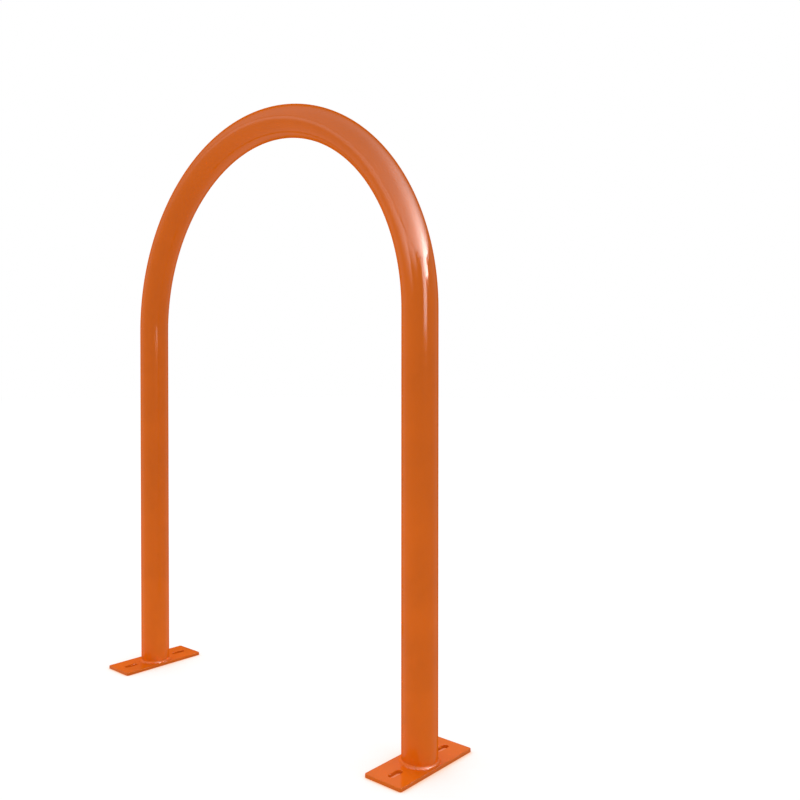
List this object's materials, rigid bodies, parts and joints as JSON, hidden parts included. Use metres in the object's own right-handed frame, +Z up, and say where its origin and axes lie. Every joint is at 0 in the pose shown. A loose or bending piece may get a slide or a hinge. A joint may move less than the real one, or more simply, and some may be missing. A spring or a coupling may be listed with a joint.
{
  "type": "hoop bike rack",
  "caption": "Surface-mounted hoop bike rack: a bent round pipe in an inverted U, welded to slotted foot plates.",
  "frame": {"origin": "on the ground, on the undersides' plane of the foot plates, midway between the two legs", "axes": "+X along the width of the hoop towards the right leg, +Y across the hoop along the foot plates, +Z up"},
  "size_m": [0.665, 0.15, 0.92],
  "materials": {
    "powder_coat": "semi-gloss orange powder coat over galvanised steel"
  },
  "bodies": {
    "root": {"hoop_pipe": "powder_coat", "left_foot_plate": "powder_coat", "right_foot_plate": "powder_coat", "left_weld_bead": "powder_coat", "right_weld_bead": "powder_coat"}
  },
  "joints": []
}
